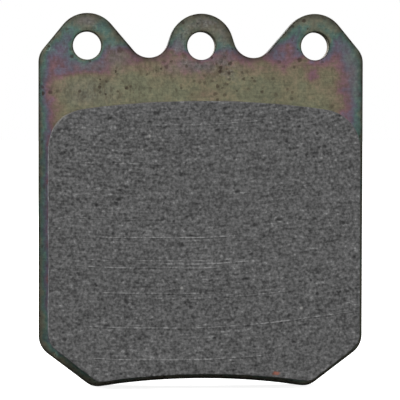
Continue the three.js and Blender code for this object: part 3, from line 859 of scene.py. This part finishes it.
        # the painted shade along the drawn-down edge reaches furthest onto the face where the ears turn up to the right
        lean = smooth(-0.2, 0.9, EDGE_SHADE_LEAN(inner[:, 0], inner[:, 1]))
        # painted shade running from the outer edge onto the face, with a further patch of it just right of the middle
        # hole
        edge_shade_on_face = (0.50 + 0.35 * lean) * np.exp(-np.maximum(distance(P, inner) - inset - 0.05 * lean, 0) / (0.24 + 0.10 * lean))
        tint = back_field(inner[:, 0], inner[:, 1], distance(P, inner)) if flip else colour_field(inner[:, 0], inner[:, 1], distance(P, inner))
        i0 = b.add(np.stack([inner[:, 0], yy, inner[:, 1]], 1),
                   irid=tint, hair=1.0 if flip else 0.0,
                   rim=np.clip(edge_shade_on_face + 0.22 * np.exp(-(((inner[:, 0] - 4.1) / 1.0) ** 2 + ((inner[:, 1] + 0.8) / 2.6) ** 2)), 0, 1),
                   haze=haze_field(inner[:, 0], inner[:, 1]) * (0.4 if flip else 1.0),
                   mottle=0.15 + 0.5 * smooth(-0.1, 0.7, fbm(inner[:, 0] / 7.0, inner[:, 1] / 5.0, 0.0, 79, 3)) if flip else mottle_field(inner[:, 0], inner[:, 1]),
                   speck=0.35 * smooth(0.1, 0.8, fbm(inner[:, 0] / 6.0, inner[:, 1] / 6.0, 0.0, 83, 2)) if flip else speck_field(inner[:, 0], inner[:, 1]),
                   scuff=scuff_field(inner[:, 0], inner[:, 1]) * (0.5 if flip else 1.0) + (0.35 * smooth(0.1, 0.7, fbm(inner[:, 0] / 9.0, inner[:, 1] / 6.0, 0.0, 67, 3)) if flip else 0.0))
        index = np.concatenate([start + np.arange(n)] + [h[0] + np.arange(h[1]) for h in holes] + [i0 + np.arange(len(inner))])
        p = pts[tris]
        ar = (p[:, 1, 0] - p[:, 0, 0]) * (p[:, 2, 1] - p[:, 0, 1]) - (p[:, 2, 0] - p[:, 0, 0]) * (p[:, 1, 1] - p[:, 0, 1])
        tris = np.where((ar < 0)[:, None], tris[:, ::-1], tris)
        b.tris(tris, 0, index=index, flip=flip)
    ob = b.mesh("plate_body", material, angle=48)
    ob.data.materials.append(edge_material)
    count = len(ob.data.polygons)
    nrm = np.empty(count * 3, np.float32)
    ob.data.polygons.foreach_get("normal", nrm)
    wall = (np.abs(nrm.reshape(-1, 3)[:, 1]) < 0.955).astype(np.int32)
    ob.data.polygons.foreach_set("material_index", wall)
    return ob


# --------------------------------------------------------------- face field


def face_fields(x, z):
    """radius from the wheel's centre (mm), groove -1..1 and grain on the friction face"""
    r = np.hypot(x - ARC_X, z - ARC_Z)
    a = np.arctan2(x - ARC_X, ARC_Z - z) * ARC_R            # mm along the arc
    fine = vnoise(r / 0.34, a / 7.0, 0.0, 71)
    mid = vnoise(r / 0.95, a / 16.0, 0.0, 73)
    wide = vnoise(r / 2.6, a / 30.0, 0.0, 79)
    groove = 0.34 * fine + 0.10 * mid + 0.07 * wide
    grain = fbm(x / 0.42, z / 0.36, 0.0, 91, 2)
    return r, groove, grain


def pits(x, z):
    g = np.random.default_rng(11)
    out = np.zeros(len(x))
    lo, hi = np.array([x.min(), z.min()]), np.array([x.max(), z.max()])
    cell = 1.5
    ix, iz = np.floor((x - lo[0]) / cell).astype(int), np.floor((z - lo[1]) / cell).astype(int)
    nx, nz = ix.max() + 2, iz.max() + 2
    have = g.random((nx, nz)) < 0.22
    px = (np.arange(nx)[:, None] + g.random((nx, nz))) * cell + lo[0]
    pz = (np.arange(nz)[None] + g.random((nx, nz))) * cell + lo[1]
    rad = 0.14 + 0.24 * g.random((nx, nz)) ** 2.5
    lon = 1.0 + 1.3 * g.random((nx, nz))
    ang = g.normal(0, 0.35, (nx, nz))
    for dx in (-1, 0, 1):
        for dz in (-1, 0, 1):
            jx, jz = np.clip(ix + dx, 0, nx - 1), np.clip(iz + dz, 0, nz - 1)
            ok = have[jx, jz]
            ux, uz = x - px[jx, jz], z - pz[jx, jz]
            c, s = np.cos(ang[jx, jz]), np.sin(ang[jx, jz])
            du, dv = (ux * c + uz * s) / lon[jx, jz], -ux * s + uz * c
            q = np.hypot(du, dv) / rad[jx, jz]
            out = np.maximum(out, np.where(ok, 1 - smooth(0.45, 1.1, q), 0))
    for cx, cz, rx, rz in ((20.8, -20.0, 0.62, 0.44), (-8.7, -12.8, 0.70, 0.34), (-16.1, -29.4, 0.42, 0.40), (-9.6, -15.6, 0.34, 0.20),
                           (19.0, -20.4, 0.30, 0.24), (22.6, -18.8, 0.34, 0.22), (18.1, -21.3, 0.30, 0.20), (-20.2, -26.4, 0.40, 0.22),
                           (21.4, -19.0, 0.42, 0.26), (20.5, -20.7, 0.34, 0.34), (22.3, -20.0, 0.22, 0.20), (18.6, -18.6, 0.30, 0.18),
                           (23.6, -18.1, 0.26, 0.16), (17.2, -20.4, 0.24, 0.20), (19.6, -17.4, 0.26, 0.15), (24.9, -20.8, 0.20, 0.16),
                           (15.6, -17.9, 0.22, 0.18), (-25.4, -15.6, 0.40, 0.20), (-23.0, -17.2, 0.30, 0.22), (-24.3, -19.6, 0.26, 0.18)):
        out = np.maximum(out, 1 - smooth(0.5, 1.15, np.hypot((x - cx) / rx, (z - cz) / rz)))
    return out


# ------------------------------------------------------------ friction block
def build_block(material):
    b = Builder()
    step = 0.25
    Q = block_outline(step)
    N = normals2(Q)
    n = len(Q)
    s = np.arange(n) * step
    # the arris is ground: mostly crisp, with small crumbled places
    crumble = smooth(0.35, 0.95, fbm(s / 1.1, 0 * s, 0.0, 101, 3) + 0.30 * vnoise(s / 7.0, 0 * s, 0.0, 103))
    edge = 0.16 + 0.05 * vnoise(s / 0.8, 0 * s, 0.0, 107) + 0.30 * crumble
    rings, rough_in = [], 0.03 * fbm(s / 0.7, 0 * s, 0.0, 109, 2)
    for k in range(5):
        a = math.pi / 2 * k / 4
        inset = edge * (1 - math.sin(a)) + 0.04 + rough_in
        y = BLOCK_FRONT + edge * 0.8 * (1 - math.cos(a)) + 0.02
        q = Q - N * inset[:, None]
        # the crumbled places on the arris carry some of the pits' painted shade
        rings.append(b.add(np.stack([q[:, 0], y, q[:, 1]], 1), groove=0.0, pit=0.35 * crumble, side=[0.0, 0.1, 0.3, 0.6, 0.9][k]))
    layers = 17
    for k in range(1, layers + 1):
        u = k / layers
        y0 = BLOCK_FRONT + 0.30
        y = y0 + (PLY_LINE - y0) * u + 0.07 * fbm(s / 3.0, 0 * s, 0.0, 113, 3) * u ** 4
        grain = 0.030 * fbm(s / 0.55, u * 8.0, 0.0, 127, 3)
        flow = 0.020 * vnoise(s / 5.0, u * 2.0, 0.0, 131)
        void = smooth(0.50, 0.75, fbm(s / 0.9, u * 5.2, 0.0, 137, 2)) * 0.14
        inset = 0.05 + grain + flow + void + rough_in * (1 - u)
        q = Q - N * inset[:, None]
        # the voids in the sides carry the pits' painted shade
        rings.append(b.add(np.stack([q[:, 0], y, q[:, 1]], 1), groove=0.0, pit=void * 4.0, side=1.0))
    for a, c in zip(rings, rings[1:]):
        b.band(a, c, n)
    # front face
    outer = Q - N * (edge + 0.04 + rough_in)[:, None]
    pts, tris = fill([outer], 0.27, 0.12, jitter=0.03)
    inner = pts[n:]
    x, z = inner[:, 0], inner[:, 1]
    r, groove, grain = face_fields(x, z)
    pit = pits(x, z)
    d = distance(outer, inner)
    near = smooth(0.0, 0.7, d)
    depth = 0.030 + 0.018 * grain - 0.012 * groove + 0.15 * pit
    depth = np.maximum(depth, 0.0) * near + 0.02 * (1 - near)
    i0 = b.add(np.stack([x, BLOCK_FRONT + depth, z], 1), groove=np.clip(groove, -1.5, 1.8) * near, pit=pit * near, side=0.0)
    index = np.concatenate([rings[0] + np.arange(n), i0 + np.arange(len(inner))])
    p = pts[tris]
    ar = (p[:, 1, 0] - p[:, 0, 0]) * (p[:, 2, 1] - p[:, 0, 1]) - (p[:, 2, 0] - p[:, 0, 0]) * (p[:, 1, 1] - p[:, 0, 1])
    tris = np.where((ar < 0)[:, None], tris[:, ::-1], tris)
    b.tris(tris, 0, index=index)
    # closed behind, where the underlayer covers it
    pts, tris = fill([Q - N * 0.2], 3.0, 1.0)
    i1 = b.add(np.stack([pts[n:, 0], np.full(len(pts) - n, PLY_LINE), pts[n:, 1]], 1), side=1.0)
    index = np.concatenate([rings[-1] + np.arange(n), i1 + np.arange(len(pts) - n)])
    p = pts[tris]
    ar = (p[:, 1, 0] - p[:, 0, 0]) * (p[:, 2, 1] - p[:, 0, 1]) - (p[:, 2, 0] - p[:, 0, 0]) * (p[:, 1, 1] - p[:, 0, 1])
    tris = np.where((ar < 0)[:, None], tris[:, ::-1], tris)
    b.tris(tris, 0, index=index, flip=True)
    return b.mesh("friction_moulding", material)


# ---------------------------------------------------------------- underlayer
def build_underlayer(material):
    b = Builder()
    step = 0.3
    Q = block_outline(step)
    N = normals2(Q)
    n = len(Q)
    s = np.arange(n) * step
    y0, y1 = PLY_LINE, PLATE_FRONT
    rings = []
    layers = 10
    ply = 0.07 * fbm(s / 3.0, 0 * s, 0.0, 113, 3)
    for k in range(layers + 1):
        u = k / layers
        y = y0 + ply * (1 - u) + (y1 - y0) * u
        inset = 0.05 + 0.05 * (1 - math.sin(math.pi * u)) + 0.045 * fbm(s / 0.8, u * 3.0, 0.0, 141, 3) - 0.03 * u
        q = Q - N * inset[:, None]
        rings.append(b.add(np.stack([q[:, 0], np.broadcast_to(y, (n,)), q[:, 1]], 1)))
    for a, c in zip(rings, rings[1:]):
        b.band(a, c, n)
    # front cap
    pts, tris = fill([Q], 3.0, 1.0)
    p = pts[tris]
    ar = (p[:, 1, 0] - p[:, 0, 0]) * (p[:, 2, 1] - p[:, 0, 1]) - (p[:, 2, 0] - p[:, 0, 0]) * (p[:, 1, 1] - p[:, 0, 1])
    tris = np.where((ar < 0)[:, None], tris[:, ::-1], tris)
    i1 = b.add(np.stack([pts[n:, 0], np.full(len(pts) - n, y0), pts[n:, 1]], 1))
    b.tris(tris, 0, index=np.concatenate([rings[0] + np.arange(n), i1 + np.arange(len(pts) - n)]))
    # back cap, open where the four plugs start
    m = 72
    roots = [circle(c, LOCK_R - 0.01, m) for c in LOCKS]
    pts, tris = fill([Q] + roots, 3.0, 1.0)
    p = pts[tris]
    ar = (p[:, 1, 0] - p[:, 0, 0]) * (p[:, 2, 1] - p[:, 0, 1]) - (p[:, 2, 0] - p[:, 0, 0]) * (p[:, 1, 1] - p[:, 0, 1])
    tris = np.where((ar < 0)[:, None], tris[:, ::-1], tris)
    root_starts = [b.add(np.stack([q[:, 0], np.full(m, y1), q[:, 1]], 1)) for q in roots]
    rest = pts[n + m * len(LOCKS):]
    i2 = b.add(np.stack([rest[:, 0], np.full(len(rest), y1), rest[:, 1]], 1))
    index = np.concatenate([rings[-1] + np.arange(n)] + [r + np.arange(m) for r in root_starts] + [i2 + np.arange(len(rest))])
    b.tris(tris, 0, index=index, flip=True)
    # plugs: a pressed end, a little below the plate's face, torn and pitted, with a shallow meniscus
    for i, (cx, cz) in enumerate(LOCKS):
        u0 = np.arange(m) * 2 * math.pi / m
        end = -0.34 - 0.05 * i % 0.11
        prev = root_starts[i]
        for rad, y in ((LOCK_R - 0.01, -3.0), (LOCK_R - 0.01, -2.0), (LOCK_R - 0.01, -1.1), (LOCK_R - 0.02, end - 0.12)):
            q = circle((cx, cz), rad, m)
            cur = b.add(np.stack([q[:, 0], np.full(m, y), q[:, 1]], 1))
            b.band(prev, cur, m)
            prev = cur
        lip = circle((cx, cz), LOCK_R - 0.16, m)
        yy = end + 0.05 * fbm(u0 * 2.2, i * 3.3, 0.0, 151, 2)
        cur = b.add(np.stack([lip[:, 0], yy, lip[:, 1]], 1))
        b.band(prev, cur, m)
        pts, tris = fill([lip], 0.22, 0.1, jitter=0.02)
        p = pts[tris]
        ar = (p[:, 1, 0] - p[:, 0, 0]) * (p[:, 2, 1] - p[:, 0, 1]) - (p[:, 2, 0] - p[:, 0, 0]) * (p[:, 1, 1] - p[:, 0, 1])
        tris = np.where((ar < 0)[:, None], tris[:, ::-1], tris)
        q = pts[m:]
        rr = np.hypot(q[:, 0] - cx, q[:, 1] - cz) / LOCK_R
        h = end + 0.06 * fbm(q[:, 0] / 0.7, q[:, 1] / 0.7, 0.0, 157 + i, 3) - 0.10 * smooth(0.25, 0.7, fbm(q[:, 0] / 1.1, q[:, 1] / 1.1, 0.0, 163 + i, 2)) - 0.05 * (1 - rr ** 2)
        i3 = b.add(np.stack([q[:, 0], h, q[:, 1]], 1))
        b.tris(tris, 0, index=np.concatenate([cur + np.arange(m), i3 + np.arange(len(q))]), flip=True)
    return b.mesh("underlayer_moulding", material)


# --------------------------------------------------------------------- film
def build_film(material):
    """the cured film, just squeezed out past the moulding here and there"""
    b = Builder()
    step = 0.35
    Q = block_outline(step)
    N = normals2(Q)
    n = len(Q)
    s = np.arange(n) * step
    out = 0.05 + 0.16 * smooth(-0.2, 0.8, fbm(s / 3.4, 0 * s, 0.0, 171, 3)) + 0.03 * vnoise(s / 0.7, 0 * s, 0.0, 173)
    rings = []
    for k, (o, y) in enumerate([(-0.30, -0.17), (-0.05, -0.16), (0.5, -0.12), (0.9, -0.06), (1.0, -0.001)]):
        q = Q + N * (out * o)[:, None] if o > 0 else Q + N * o
        rings.append(b.add(np.stack([q[:, 0], np.full(n, PLATE_FRONT + y), q[:, 1]], 1)))
    for a, c in zip(rings, rings[1:]):
        b.band(a, c, n)
    for ring, src, flip, y in ((rings[0], Q - N * 0.30, False, -0.17), (rings[-1], Q + N * out[:, None], True, -0.001)):
        pts, tris = fill([src], 3.0, 1.0)
        p = pts[tris]
        ar = (p[:, 1, 0] - p[:, 0, 0]) * (p[:, 2, 1] - p[:, 0, 1]) - (p[:, 2, 0] - p[:, 0, 0]) * (p[:, 1, 1] - p[:, 0, 1])
        tris = np.where((ar < 0)[:, None], tris[:, ::-1], tris)
        i1 = b.add(np.stack([pts[n:, 0], np.full(len(pts) - n, PLATE_FRONT + y), pts[n:, 1]], 1))
        b.tris(tris, 0, index=np.concatenate([ring + np.arange(n), i1 + np.arange(len(pts) - n)]), flip=flip)
    return b.mesh("film_edge", material)


plate = build_plate(plate_material(), plate_material("plated_steel_sheared", edge=True))
block = build_block(friction_material("friction_material"))
under = build_underlayer(underlayer_material())
film = build_film(film_material())

for piece, node, slot in ((plate, "backing_plate", "plated_steel"), (block, "friction_block", "friction_material"),
                          (under, "underlayer", "moulded_underlayer"), (film, "adhesive_film", "cured_resin")):
    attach(piece, "root")
    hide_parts(node)

# --------------------------------------------------------- floor, world, lamps
FLOOR_Z = plate_lo.z - 0.00005


def floor_material():
    m = Tree("studio_floor")
    m.bsdf.inputs["Base Color"].default_value = (0.45, 0.45, 0.45, 1)
    m.bsdf.inputs["Roughness"].default_value = 0.9
    m.bsdf.inputs["Specular IOR Level"].default_value = 0.0
    m.bsdf.inputs["Emission Color"].default_value = (1, 1, 1, 1)
    m.bsdf.inputs["Emission Strength"].default_value = 0.86
    return m.mat


me = bpy.data.meshes.new("floor")
me.from_pydata([(-6, -6, FLOOR_Z), (6, -6, FLOOR_Z), (6, 6, FLOOR_Z), (-6, 6, FLOOR_Z)], [], [(0, 1, 2, 3)])
me.materials.append(floor_material())
floor = bpy.data.objects.new("floor", me)
floor.visible_diffuse = floor.visible_glossy = False     # a floor far enough away not to light the pad from below
bpy.context.scene.collection.objects.link(floor)

scene = bpy.context.scene
world = bpy.data.worlds.new("studio")
WORLD_LOW = 0.05
scene.world = world
world.use_nodes = True
# white above the horizon and dim below it, so the light falls from above as in a tent
wt = world.node_tree
sky_co = wt.nodes.new("ShaderNodeTexCoord")
sky_z = wt.nodes.new("ShaderNodeSeparateXYZ")
sky_r = wt.nodes.new("ShaderNodeMapRange")
sky_r.inputs["From Min"].default_value = -0.10
sky_r.inputs["From Max"].default_value = -0.02
sky_r.inputs["To Min"].default_value = WORLD_LOW
sky_r.inputs["To Max"].default_value = 1.0
wt.links.new(sky_co.outputs["Generated"], sky_z.inputs[0])
wt.links.new(sky_z.outputs["Z"], sky_r.inputs["Value"])
wt.links.new(sky_r.outputs["Result"], wt.nodes["Background"].inputs["Color"])
wt.nodes["Background"].inputs["Strength"].default_value = 1.0
scene.view_settings.view_transform = "Standard"


def area(name, at, aim, size, power, colour=(1, 1, 1)):
    l = bpy.data.lights.new(name, "AREA")
    l.shape, l.size, l.energy, l.color = "DISK", size, power, colour
    o = bpy.data.objects.new(name, l)
    scene.collection.objects.link(o)
    o.location = at
    o.rotation_mode = "QUATERNION"
    o.rotation_quaternion = (Vector(aim) - Vector(at)).to_track_quat("-Z", "Y")
    return o


PAD = (0, -0.004, -0.03)
area("key", (-0.42, -0.62, 0.50), PAD, 0.40, 9.0)
area("fill", (0.65, -0.45, 0.20), PAD, 0.50, 2.5)
area("back", (-0.35, 0.70, 0.45), PAD, 0.45, 13.0)

# -------------------------------------------------------------------- camera
YAW, PITCH, ROLL, DIST = math.radians(3.585), math.radians(1.728), math.radians(-0.106), 0.450
AIM = Vector((0.0, PLATE_FRONT * MM, -0.028))
d = Vector((-math.sin(YAW) * math.cos(PITCH), -math.cos(YAW) * math.cos(PITCH), math.sin(PITCH)))
right = Vector((math.cos(YAW), -math.sin(YAW), 0))
upv = right.cross(-d)
cam_data = bpy.data.cameras.new("camera")
cam_data.sensor_width = 36
cam_data.lens = 215.6
cam_data.clip_start, cam_data.clip_end = 0.01, 20
cam = bpy.data.objects.new("camera", cam_data)
scene.collection.objects.link(cam)
scene.camera = cam
cam.location = AIM + d * DIST
px = 0.450 / (215.6 / 36 * 400)       # metres per pixel at the target
target = AIM - right * (1.166 * px) - upv * (4.916 * px)
look = (target - cam.location).normalized()
cam.rotation_mode = "QUATERNION"
q = look.to_track_quat("-Z", "Y")
q.rotate(Matrix.Rotation(ROLL, 3, look).to_quaternion())
cam.rotation_quaternion = q
